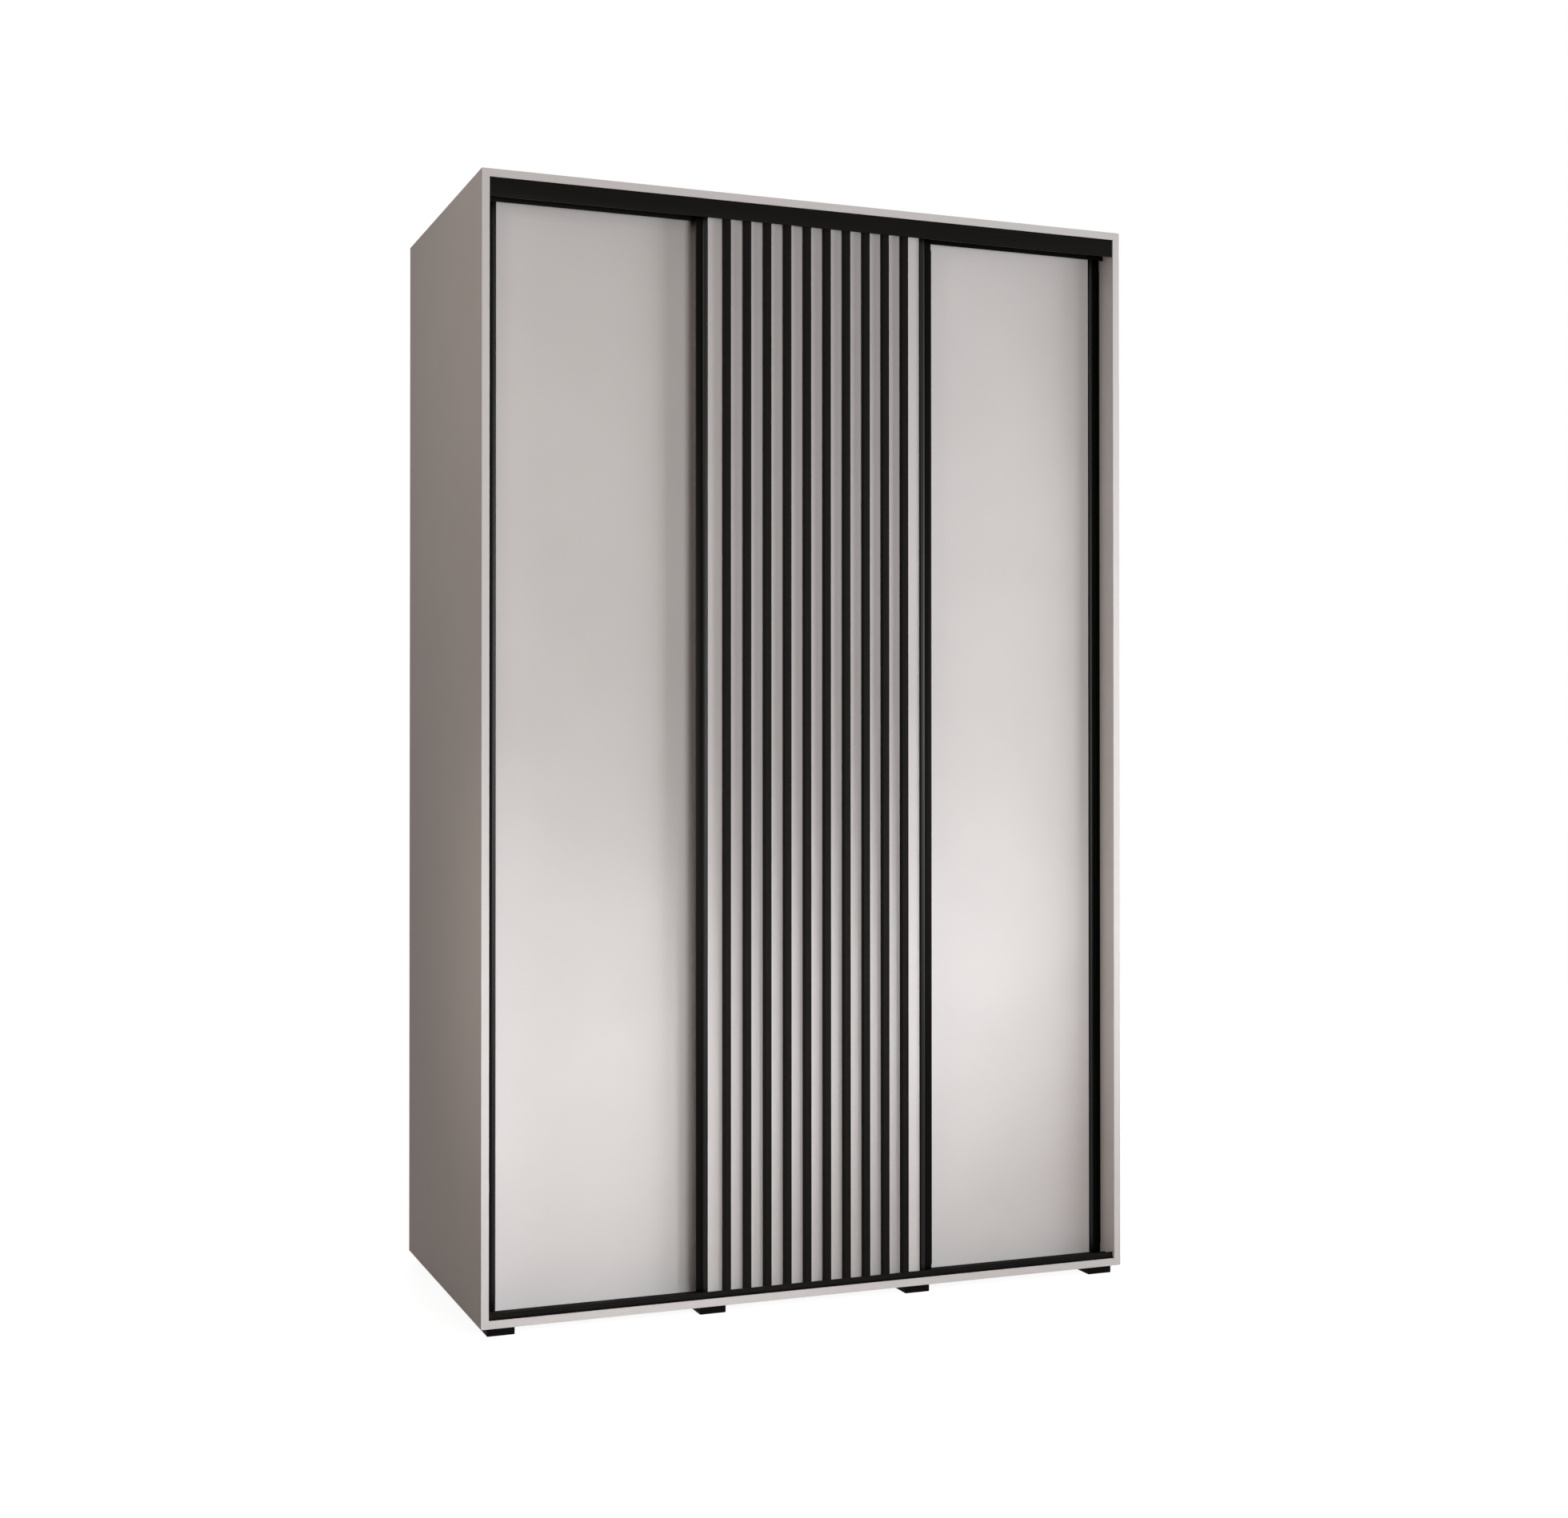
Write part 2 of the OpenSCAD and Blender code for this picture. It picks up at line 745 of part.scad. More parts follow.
module housing_slot() {
    slot_r = small_screw_r + 0.4;
    slot_h = housing_t + 2 * cut_over;
    translate([0, 0, -housing_t - cut_over]) {
        for (s = [-1, 1]) translate([0, slot_travel * s, 0]) cylinder(r = slot_r, h = slot_h);
        translate([-slot_r, -slot_travel, 0]) cube([2 * slot_r, 2 * slot_travel, slot_h]);
    }
}

module housing() {
    difference() {
        translate([-housing_w / 2, 0, housing_z]) {
            cube([housing_w, housing_t, plate_h]);
            translate([0, 0, cheek_h - housing_t]) cube([housing_w, housing_d, housing_t]);
            translate([0, housing_d - housing_t, 0]) cube([housing_w, housing_t, cheek_h]);
        }
        translate([0, -cut_over, axle_z]) rotate([-90, 0, 0])
            cylinder(r = axle_r, h = housing_d + 2 * cut_over);
    }
}

module door_housings(door) {
    color("#3a3a3c")
        at_both_edges(door)
            difference() {
                at_housing() housing();
                at_housing_screws() housing_slot();
            }
}

module door_axles(door) {
    color("#b9bbbd")
        at_both_edges(door)
            at_housing() translate([0, 0, axle_z]) rotate([-90, 0, 0]) {
                cylinder(r = axle_r, h = housing_d);
                translate([0, 0, housing_d]) cylinder(r = axle_r + axle_head_rim, h = axle_head_t);
            }
}

module wheel(door, s) {
    flange_r = tread_r + tread_groove;
    groove_w = ridge_w + 0.8;
    side_w = (wheel_w - groove_w) / 2;
    color("#e6e3dc")
        at_edge(door, s)
            at_housing() translate([0, wheel_off - wheel_w / 2, axle_z]) rotate([-90, 0, 0])
                rotate_extrude()
                    translate([axle_r + bore_play, 0])
                        difference() {
                            square([flange_r - axle_r - bore_play, wheel_w]);
                            translate([tread_r - axle_r - bore_play, side_w])
                                square([tread_groove + cut_over, groove_w]);
                        }
}

module door_screws(door) {
    color("#2a2a2b")
        at_both_edges(door) {
            at_housing_screws() screw(small_screw_r, housing_t + panel_t - panel_skin);
            translate([port_u, port_v, door_top + shoe_t]) screw(small_screw_r, shoe_t + shoe_screw_hold);
        }
}

// Pile strips along the outer edges of the grip strips.
module door_pile(door) {
    pile_end = 20;
    color("#121212")
        at_both_edges(door)
            translate([-pile_t, -flange_rise, door_z + pile_end])
                cube([pile_t, grip_lip, door_h - top_engagement - 2 * pile_end]);
}

/* ---- carcass nodes ---- */
side_left();
side_right();
top_panel();
bottom_panel();
partition(-1);  // partition_left
partition(1);  // partition_right
back_left();
back_middle();
back_right();
shelf(LEFT_BAY, top_shelf_z);  // shelf_left_top
shelf(RIGHT_BAY, top_shelf_z);  // shelf_right_top
shelf(RIGHT_BAY, first_shelf_z);  // shelf_right_low
shelf(MIDDLE_BAY, middle_zs[0]);  // shelf_middle_1
shelf(MIDDLE_BAY, middle_zs[1]);  // shelf_middle_2
shelf(MIDDLE_BAY, middle_zs[2]);  // shelf_middle_3
shelf(MIDDLE_BAY, top_shelf_z);  // shelf_middle_top
rod(LEFT_BAY);  // rod_left
rod(RIGHT_BAY);  // rod_right
rod_sockets();
shelf_pins();
cam_locks();
cam_bolts();
back_nails();
feet();
foot_screws();
top_track();
bottom_track();
track_screws();
track_stops();

/* ---- left door nodes ---- */
door_panel(LEFT);  // left_door_panel
door_profiles(LEFT);  // left_door_profiles
door_grips(LEFT);  // left_door_grips
door_shoes(LEFT);  // left_door_shoes
door_housings(LEFT);  // left_door_housings
door_axles(LEFT);  // left_door_axles
door_screws(LEFT);  // left_door_screws
door_pile(LEFT);  // left_door_pile
wheel(LEFT, -1);  // left_door_wheel_l
wheel(LEFT, 1);  // left_door_wheel_r

/* ---- middle door nodes ---- */
door_panel(MIDDLE);  // middle_door_panel
middle_door_slats();
door_profiles(MIDDLE);  // middle_door_profiles
door_grips(MIDDLE);  // middle_door_grips
door_shoes(MIDDLE);  // middle_door_shoes
door_housings(MIDDLE);  // middle_door_housings
door_axles(MIDDLE);  // middle_door_axles
door_screws(MIDDLE);  // middle_door_screws
door_pile(MIDDLE);  // middle_door_pile
wheel(MIDDLE, -1);  // middle_door_wheel_l
wheel(MIDDLE, 1);  // middle_door_wheel_r

/* ---- right door nodes ---- */
door_panel(RIGHT);  // right_door_panel
door_profiles(RIGHT);  // right_door_profiles
door_grips(RIGHT);  // right_door_grips
door_shoes(RIGHT);  // right_door_shoes
door_housings(RIGHT);  // right_door_housings
door_axles(RIGHT);  // right_door_axles
door_screws(RIGHT);  // right_door_screws
door_pile(RIGHT);  // right_door_pile
wheel(RIGHT, -1);  // right_door_wheel_l
wheel(RIGHT, 1);  // right_door_wheel_r
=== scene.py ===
import json
import math

import bmesh
import bpy
from mathutils import Matrix, Vector


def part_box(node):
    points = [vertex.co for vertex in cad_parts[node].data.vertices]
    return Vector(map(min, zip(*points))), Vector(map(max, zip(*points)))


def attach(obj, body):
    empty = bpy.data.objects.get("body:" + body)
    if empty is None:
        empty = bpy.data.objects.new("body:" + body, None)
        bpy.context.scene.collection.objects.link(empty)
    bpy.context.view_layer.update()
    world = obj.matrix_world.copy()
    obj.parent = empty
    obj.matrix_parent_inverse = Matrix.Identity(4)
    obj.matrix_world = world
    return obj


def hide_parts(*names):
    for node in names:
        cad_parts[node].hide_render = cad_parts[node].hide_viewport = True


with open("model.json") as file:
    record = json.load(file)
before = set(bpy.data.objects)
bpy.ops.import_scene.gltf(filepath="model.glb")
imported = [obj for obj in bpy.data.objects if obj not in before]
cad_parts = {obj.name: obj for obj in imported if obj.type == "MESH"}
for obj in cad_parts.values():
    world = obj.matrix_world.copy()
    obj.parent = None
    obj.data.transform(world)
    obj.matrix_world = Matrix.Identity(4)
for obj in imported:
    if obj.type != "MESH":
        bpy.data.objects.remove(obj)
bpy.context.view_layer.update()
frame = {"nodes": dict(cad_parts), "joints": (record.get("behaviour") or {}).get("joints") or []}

mm = 0.001
cadNodes = frame["nodes"]
doors = ("left_door", "middle_door", "right_door")
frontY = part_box("side_left")[0].y  # depths are counted from the boards' front edges
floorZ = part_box("bottom_panel")[1].z  # the bottom track lies at this height
smoothAngle = 35  # degrees; a sharper edge between two faces stays sharp
print("frame loaded, nodes:", len(cadNodes))


def linear(hexColour):
    # an sRGB hex value as the linear colour that sockets and lamps take
    channels = [int(hexColour[i:i + 2], 16) / 255 for i in (1, 3, 5)]
    return tuple(c / 12.92 if c < 0.04045 else ((c + 0.055) / 1.055) ** 2.4 for c in channels) + (1.0,)


def addNode(tree, kind, inputs=None, links=None, **settings):
    # one node with its settings, its socket values and what feeds its sockets
    node = tree.nodes.new(kind)
    for name, value in settings.items():
        setattr(node, name, value)
    for socket, value in (inputs or {}).items():
        node.inputs[socket].default_value = value
    for socket, source in (links or {}).items():
        tree.links.new(source, node.inputs[socket])
    return node


def finishMesh(bm, name, materials, sharpAt=smoothAngle):
    mesh = bpy.data.meshes.new(name)
    bm.to_mesh(mesh)
    bm.free()
    for material in materials:
        mesh.materials.append(material)
    mesh.set_sharp_from_angle(angle=math.radians(sharpAt))
    piece = bpy.data.objects.new(name, mesh)
    bpy.context.scene.collection.objects.link(piece)
    return piece


def standFor(piece, body, slot, *nodes):
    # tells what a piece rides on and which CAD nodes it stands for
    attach(piece, body)
    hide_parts(*nodes)


colourA, colourB, mixedColour = 6, 7, 2  # the Mix node's colour sockets share their names with others
grainRange = (0.3, 0.7)  # where a noise pattern starts and where it is full


def makeFinish(name, sockets, patterns):
    # each pattern is a grain of a real size that drives the colour, the roughness or the bump
    material = bpy.data.materials.new(name)
    material.use_nodes = True
    tree = material.node_tree
    shader = tree.nodes["Principled BSDF"]
    for socket, value in sockets.items():
        shader.inputs[socket].default_value = linear(value) if socket == "Base Color" else value
    coords = addNode(tree, "ShaderNodeTexCoord").outputs["Object"]
    for pattern in patterns:
        placed = addNode(tree, "ShaderNodeMapping", {"Scale": pattern.get("stretch", (1, 1, 1))},
                         {"Vector": coords}).outputs[0]
        if "smoothness" in pattern:
            grain = addNode(tree, "ShaderNodeTexVoronoi",
                            {"Scale": 1 / pattern["size"], "Smoothness": pattern["smoothness"]},
                            {"Vector": placed}, feature="SMOOTH_F1").outputs["Distance"]
        else:
            grain = addNode(tree, "ShaderNodeTexNoise",
                            {"Scale": 1 / pattern["size"], "Detail": pattern["detail"],
                             "Roughness": pattern.get("harshness", 0.5)},
                            {"Vector": placed}).outputs["Fac"]
        start, full = pattern.get("range", grainRange)
        if "colours" in pattern:
            under, over = pattern["colours"]  # None keeps the colour that an earlier pattern gave
            share = addNode(tree, "ShaderNodeMapRange",
                            {"From Min": start, "From Max": full, "To Max": pattern.get("most", 1.0)},
                            {"Value": grain})
            mix = addNode(tree, "ShaderNodeMix", {colourB: linear(over)}, {"Factor": share.outputs[0]},
                          data_type="RGBA")
            if under:
                mix.inputs[colourA].default_value = linear(under)
            else:
                tree.links.new(ground, mix.inputs[colourA])
            ground = mix.outputs[mixedColour]
            tree.links.new(ground, shader.inputs["Base Color"])
        if "roughness" in pattern:
            low, high = pattern["roughness"]
            level = addNode(tree, "ShaderNodeMapRange",
                            {"From Min": start, "From Max": full, "To Min": low, "To Max": high},
                            {"Value": grain})
            tree.links.new(level.outputs[0], shader.inputs["Roughness"])
        if "bump" in pattern:
            bump = addNode(tree, "ShaderNodeBump", {"Strength": 1.0, "Distance": pattern["bump"]},
                           {"Height": grain})
            tree.links.new(bump.outputs[0], shader.inputs["Normal"])
    return material


# melamine-faced chipboard off a pearl press plate: an even white with a faint pebbled sheen
melamine = makeFinish("melamineWhite", {
    "Base Color": "#DCD8D8", "Roughness": 0.48, "IOR": 1.5, "Specular IOR Level": 0.06,
}, [
    {"size": 220 * mm, "detail": 2, "colours": ("#DAD6D6", "#DEDADA")},
    {"size": 3.2 * mm, "smoothness": 0.6, "range": (0.1, 0.7),  # 1 mm pearl, drawn at 3 mm
     "roughness": (0.42, 0.5), "bump": 0.04 * mm},
])

# 1 mm ABS edge band, trimmed and buffed: a touch smoother and cooler than the boards' faces
edging = makeFinish("absEdgingWhite", {
    "Base Color": "#DEDBDB", "Roughness": 0.4, "IOR": 1.5, "Specular IOR Level": 0.15,
}, [
    {"size": 2 * mm, "detail": 3, "stretch": (1, 1, 0.04),  # cutter marks along the band
     "roughness": (0.32, 0.42), "bump": 0.03 * mm},
])

# raw side of a thin hardboard sheet: felted brown fibres with darker flecks
hardboard = makeFinish("hardboardRaw", {"Base Color": "#8A6A4C", "Roughness": 0.78, "IOR": 1.5}, [
    {"size": 4 * mm, "detail": 6, "harshness": 0.65, "colours": ("#7C5D41", "#997655"),
     "bump": 0.2 * mm},
    {"size": 1.5 * mm, "detail": 2, "range": (0.62, 0.8), "colours": (None, "#4E3826"), "most": 0.7},
])

upright, sideways = (1, 1, 0.004), (0.004, 1, 1)


def makeAnodised(name, stretch, dark, light):
    # drawn aluminium, etched and anodised black: a dark metal with fine die lines along its length
    return makeFinish(name, {"Base Color": dark, "Roughness": 0.34, "Metallic": 1.0}, [
        {"size": 1.2 * mm, "detail": 4, "harshness": 0.6, "stretch": stretch,  # 0.3 mm, drawn at 1.2 mm
         "colours": (dark, light), "roughness": (0.31, 0.38), "bump": 0.02 * mm},
    ])


# one anodised black in three copies: the bead's copy is made lighter, a painted highlight along the bead,
# and the grip's copy darker, painted shade on the flat strip
anodisedBeadPaintedHighlight = makeAnodised("anodisedBlackBead", upright, "#202120", "#242524")
anodisedGripPaintedShade = makeAnodised("anodisedBlackGrip", upright, "#0C0C0B", "#100F0E")
anodisedTrack = makeAnodised("anodisedBlackTrack", sideways, "#151413", "#191817")

# fibreboard strip wrapped in black finish foil: matt, with shallow pores along the strip
foil = makeFinish("finishFoilBlack", {
    "Base Color": "#131110", "Roughness": 0.55, "IOR": 1.5, "Specular IOR Level": 0.05,
}, [
    {"size": 1.1 * mm, "detail": 4, "harshness": 0.65, "stretch": (1, 1, 0.03),
     "roughness": (0.42, 0.6), "bump": 0.06 * mm},
    {"size": 20 * mm, "detail": 2, "stretch": (1, 1, 0.2), "colours": ("#110F0E", "#161312")},
])

# injection-moulded ABS from a spark-eroded tool: matt black with a sandy grain
moulded = makeFinish("mouldedAbsBlack", {
    "Base Color": "#110F0D", "Roughness": 0.6, "IOR": 1.5, "Specular IOR Level": 0.03,
}, [
    {"size": 1.6 * mm, "detail": 4, "harshness": 0.6, "colours": ("#0F0D0B", "#141110"),
     "roughness": (0.48, 0.64), "bump": 0.08 * mm},
])

# turned polyamide wheel: waxy off-white with a faint cloudy grain
nylon = makeFinish("polyamideNatural", {
    "Base Color": "#DCD6C8", "Roughness": 0.38, "IOR": 1.53,
    "Subsurface Weight": 0.15, "Subsurface Radius": (4 * mm, 3 * mm, 2 * mm),
}, [
    {"size": 1.4 * mm, "detail": 3, "roughness": (0.34, 0.44), "bump": 0.03 * mm},
])

# pressed steel under black powder coat: satin with a fine orange peel
powder = makeFinish("powderCoatBlack", {"Base Color": "#242425", "Roughness": 0.42, "IOR": 1.5}, [
    {"size": 2.2 * mm, "detail": 2, "roughness": (0.36, 0.5), "bump": 0.08 * mm},
])

# bright zinc plating over steel: a pale blue-grey metal, a little cloudy
zinc = makeFinish("zincPlating", {"Base Color": "#B9BCC0", "Roughness": 0.3, "Metallic": 1.0}, [
    {"size": 2.8 * mm, "detail": 4, "harshness": 0.6, "colours": ("#A9ADB2", "#C6C8CA"),
     "roughness": (0.22, 0.38), "bump": 0.03 * mm},
])

# polished chrome on drawn tube: mirror-like, with hairline scratches along the rod
chrome = makeFinish("chromePlating", {"Base Color": "#CDD0D3", "Roughness": 0.08, "Metallic": 1.0}, [
    {"size": 1.5 * mm, "detail": 4, "harshness": 0.6, "stretch": (0.02, 1, 1),
     "roughness": (0.05, 0.14), "bump": 0.01 * mm},
])

# woven pile strip: short upright fibres, so it looks soft and takes almost no light
pile = makeFinish("polypropylenePile", {
    "Base Color": "#111111", "Roughness": 0.9, "IOR": 1.5, "Sheen Weight": 0.3,
}, [
    {"size": 0.9 * mm, "detail": 3, "harshness": 0.7, "colours": ("#0B0B0B", "#191919"),
     "bump": 0.3 * mm},
])

keptNodes = {  # nodes that keep their CAD shape, by the end of their names
    "_panel": melamine, "_shoes": moulded, "_housings": powder, "_axles": zinc, "_pile": pile,
    "track_stops": moulded, "cam_bolts": zinc, "cam_locks": zinc, "rod_sockets": chrome,
    "rod_left": chrome, "rod_right": chrome,
}
for nodeName, node in cadNodes.items():
    for ending, material in keptNodes.items():
        if nodeName.endswith(ending):
            node.data.materials.clear()
            node.data.materials.append(material)
print("materials made")


boardLook = {"arris": 0.4 * mm, "arrisSteps": 2, "weld": 0.005 * mm, "flatAngle": 0.5, "sharpAt": 25,
             "onBox": 0.02 * mm, "broadFace": 0.99, "frontFace": -0.5}
boards = ("side_left", "side_right", "top_panel", "bottom_panel", "partition_left", "partition_right",
          "shelf_left_top", "shelf_right_top", "shelf_right_low", "shelf_middle_1", "shelf_middle_2",
          "shelf_middle_3", "shelf_middle_top")
backSheets = ("back_left", "back_middle", "back_right")


def welded(nodeName):
    # a CAD node's loose triangles as one mesh
    bm = bmesh.new()
    bm.from_mesh(cadNodes[nodeName].data)
    bmesh.ops.remove_doubles(bm, verts=bm.verts, dist=boardLook["weld"])
    return bm


def outlineEdges(bm, low, high):
    # edges that lie on two of the six sides of the board's own box
    def sidesOf(point):
        return {(axis, side) for axis in range(3) for side, limit in enumerate((low, high))
                if abs(point[axis] - limit[axis]) < boardLook["onBox"]}
    return [e for e in bm.edges if len(sidesOf(e.verts[0].co) & sidesOf(e.verts[1].co)) == 2]


def softenBoard(nodeName, materials, pick):
    low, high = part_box(nodeName)
    bm = welded(nodeName)
    bmesh.ops.dissolve_limit(bm, angle_limit=math.radians(boardLook["flatAngle"]),
                             verts=bm.verts, edges=bm.edges)
    bmesh.ops.bevel(bm, geom=outlineEdges(bm, low, high), offset=boardLook["arris"],
                    segments=boardLook["arrisSteps"], profile=0.5, affect="EDGES", clamp_overlap=False)
    bm.normal_update()
    size = high - low
    thin = min(range(3), key=lambda axis: size[axis])
    for face in bm.faces:
        face.material_index = pick(face.normal, thin)
    return finishMesh(bm, nodeName + "_board", materials, boardLook["sharpAt"])


for nodeName in boards:
    board = softenBoard(nodeName, [melamine, edging],
                        lambda normal, thin: 0 if abs(normal[thin]) > boardLook["broadFace"] else 1)
    standFor(board, "carcass", "white_board", nodeName)

for nodeName in backSheets:
    sheet = softenBoard(nodeName, [melamine, hardboard],
                        lambda normal, thin: 0 if normal.y < boardLook["frontFace"] else 1)
    standFor(sheet, "carcass", "white_sheet", nodeName)
print("boards made:", len(boards) + len(backSheets))


cornerLook = {"steps": 3, "straightFrom": 150, "share": 0.45, "least": 1e-4}


def roundCorners(outline, radius, steps=cornerLook["steps"]):
    # each corner becomes a short curve, unless it is nearly straight or has no room
    rounded = []
    for i, corner in enumerate(outline):
        here = Vector(corner)
        back, ahead = Vector(outline[i - 1]) - here, Vector(outline[(i + 1) % len(outline)]) - here
        turn = back.angle(ahead)
        reach = radius / math.tan(turn / 2) if turn < math.radians(cornerLook["straightFrom"]) else 0
        reach = min(reach, back.length * cornerLook["share"], ahead.length * cornerLook["share"])
        if reach < cornerLook["least"]:
            rounded.append(here)
            continue
        first, last = here + back.normalized() * reach, here + ahead.normalized() * reach
        for step in range(steps + 1):
            t = step / steps
            rounded.append(first * (1 - t) ** 2 + here * 2 * t * (1 - t) + last * t * t)
    return rounded


def extrude(bm, outline, place, start, end):
    # place turns a section point and a position along the length into a point of the frame
    rings = [[bm.verts.new(place(point, along)) for point in outline] for along in (start, end)]
    for i in range(len(outline)):
        j = (i + 1) % len(outline)
        bm.faces.new((rings[0][i], rings[0][j], rings[1][j], rings[1][i]))
    for ring in rings:
        bm.faces.new(ring)


handleLook = {  # millimetres, across from the door's edge and back from the profile's zero face
    "width": 27.0, "strip": 13.5, "rise": 3.5, "lip": 3.5, "wall": 1.6,
    "tongue": 1.2, "tongueDepth": 2.5, "slotWall": 1.3,
    "beadRise": 6.0, "beadStep": 1.0, "groove": 10.0, "panel": 10.2, "corner": 0.35, "beadSteps": 28,
}


def handleSections():
    # the profile with its rounded bead and panel groove, and the grip strip pressed into its slot
    h = handleLook
    slotInner = h["strip"]
    slotOuter = slotInner - h["tongue"]
    block = slotOuter - h["slotWall"]
    face, under = -h["rise"], h["wall"] - h["rise"]
    back = h["panel"] + h["wall"]
    beadWidth, sag = h["width"] - slotInner, h["beadRise"] - h["beadStep"]
    radius = (beadWidth ** 2 / 4 + sag ** 2) / (2 * sag)
    middle, depth = slotInner + beadWidth / 2, radius - h["beadRise"]
    half = math.asin(beadWidth / 2 / radius)
    bead = [(middle + radius * math.sin(a), depth - radius * math.cos(a))
            for a in (half * (2 * i / h["beadSteps"] - 1) for i in range(h["beadSteps"] + 1))]
    inner = h["width"] - h["groove"]
    before = [(block, under), (slotOuter, under), (slotOuter, h["tongueDepth"]),
              (slotInner, h["tongueDepth"])]
    after = [(h["width"], 0), (inner, 0), (inner, h["panel"]), (h["width"], h["panel"]),
             (h["width"], back), (block, back)]
    profile = roundCorners(before + bead + after, h["corner"])
    grip = roundCorners([(0, face), (slotInner, face), (slotInner, h["tongueDepth"]),
                         (slotOuter, h["tongueDepth"]), (slotOuter, under), (h["wall"], under),
                         (h["wall"], face + h["lip"]), (0, face + h["lip"])], h["corner"])
    return profile, grip


profileSection, gripSection = handleSections()
handleKinds = (("profiles", profileSection, anodisedBeadPaintedHighlight), ("grips", gripSection, anodisedGripPaintedShade))
for door in doors:
    low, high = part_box(door + "_grips")
    faceY = low.y + handleLook["rise"] * mm
    for kind, section, finish in handleKinds:
        bm = bmesh.new()
        for edge, inward in ((low.x, 1), (high.x, -1)):
            extrude(bm, section, lambda p, z: (edge + inward * p[0] * mm, faceY + p[1] * mm, z),
                    low.z, high.z)
        bmesh.ops.recalc_face_normals(bm, faces=bm.faces)
        standFor(finishMesh(bm, door + "_" + kind + "_drawn", [finish]),
                 door, "black_aluminium", door + "_" + kind)

trackLook = {  # millimetres, back from the boards' front edges and up or down from the board
    "fascia": 2.5, "height": 38.5, "wall": 1.5, "pitch": 38.5, "lips": 3, "corner": 0.3,
    "toe": 2.0, "toeHeight": 3.0, "lip": 6.0, "lipHeight": 13.7, "base": 1.2, "rearLip": 4.0,
    "ridge": 3.0, "ridgeHeight": 6.3, "ridgeDepths": (37.6, 76.1), "ridgeSteps": 10,
}


def topTrackSection():
    t = trackLook
    low, under = -t["height"], -t["wall"]
    outline = [(t["fascia"], 0)]
    for lip in range(t["lips"]):
        near = t["fascia"] + lip * t["pitch"]
        far = near + t["wall"]
        outline += [(near, under)] if lip else []
        outline += [(near, low), (far, low), (far, under if lip < t["lips"] - 1 else 0)]
    return roundCorners(outline, t["corner"])


def bottomTrackSection(rear):
    t = trackLook
    lipBack = t["lip"] + t["base"]
    outline = [(t["toe"], 0), (t["toe"], t["base"]), (t["lip"], t["toeHeight"]),
               (t["lip"], t["lipHeight"]), (lipBack, t["lipHeight"]), (lipBack, t["base"])]
    for middle in t["ridgeDepths"]:
        half = t["ridge"] / 2
        crown = t["base"] + t["ridgeHeight"] - half
        outline.append((middle - half, t["base"]))
        outline += [(middle - half * math.cos(a), crown + half * math.sin(a))
                    for a in (math.pi * i / t["ridgeSteps"] for i in range(t["ridgeSteps"] + 1))]
        outline.append((middle + half, t["base"]))
    outline += [(rear - t["base"], t["base"]), (rear - t["base"], t["rearLip"]),
                (rear, t["rearLip"]), (rear, 0)]
    return roundCorners(outline, t["corner"])


def makeTrack(nodeName, section, boardZ):
    low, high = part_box(nodeName)
    bm = bmesh.new()
    extrude(bm, section, lambda p, x: (x, frontY + p[0] * mm, boardZ + p[1] * mm), low.x, high.x)
    bmesh.ops.recalc_face_normals(bm, faces=bm.faces)
    track = finishMesh(bm, nodeName + "_drawn", [anodisedTrack])
    standFor(track, "carcass", "black_aluminium", nodeName)


makeTrack("top_track", topTrackSection(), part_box("top_track")[1].z)
makeTrack("bottom_track", bottomTrackSection((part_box("bottom_track")[1].y - frontY) / mm), floorZ)
print("extrusions made")


def newTree(name, sockets):
    tree = bpy.data.node_groups.new(name, "GeometryNodeTree")
    tree.interface.new_socket("Geometry", in_out="OUTPUT", socket_type="NodeSocketGeometry")
    tree.interface.new_socket("Geometry", in_out="INPUT", socket_type="NodeSocketGeometry")
    for socketName, kind in sockets.items():
        tree.interface.new_socket(socketName, in_out="INPUT", socket_type="NodeSocket" + kind)
    return tree, addNode(tree, "NodeGroupInput").outputs


def closeTree(tree, geometry, material):
    real = addNode(tree, "GeometryNodeRealizeInstances", None, {"Geometry": geometry})
    dressed = addNode(tree, "GeometryNodeSetMaterial", None,
                      {"Geometry": real.outputs[0], "Material": material})
    addNode(tree, "NodeGroupOutput", None, {"Geometry": dressed.outputs[0]})
    return tree


def grow(holder, tree, values):
    # runs a tree on a holder object and swaps the result in as a plain mesh
    modifier = holder.modifiers.new("grown", "NODES")
    modifier.node_group = tree
    for item in tree.interface.items_tree:
        if item.in_out == "INPUT" and item.name in values:
            modifier[item.identifier] = values[item.name]
    bpy.context.view_layer.update()
    evaluated = holder.evaluated_get(bpy.context.evaluated_depsgraph_get())
    mesh = bpy.data.meshes.new_from_object(evaluated)
    mesh.name = holder.name
    holder.modifiers.remove(modifier)
    holder.data = mesh
    return holder


def emptyHolder(name, places=(), turns=()):
    # an object with a point for each copy, which carries that copy's turn
    mesh = bpy.data.meshes.new(name + "_points")
    mesh.from_pydata(places, [], [])
    if places:
        turn = mesh.attributes.new("turn", "FLOAT_VECTOR", "POINT")
        for i, value in enumerate(turns):
            turn.data[i].vector = value
    holder = bpy.data.objects.new(name, mesh)
    bpy.context.scene.collection.objects.link(holder)
    return holder


slatLook = {"count": 10, "width": 14.8 * mm, "corner": 0.6 * mm, "cornerSteps": 4}


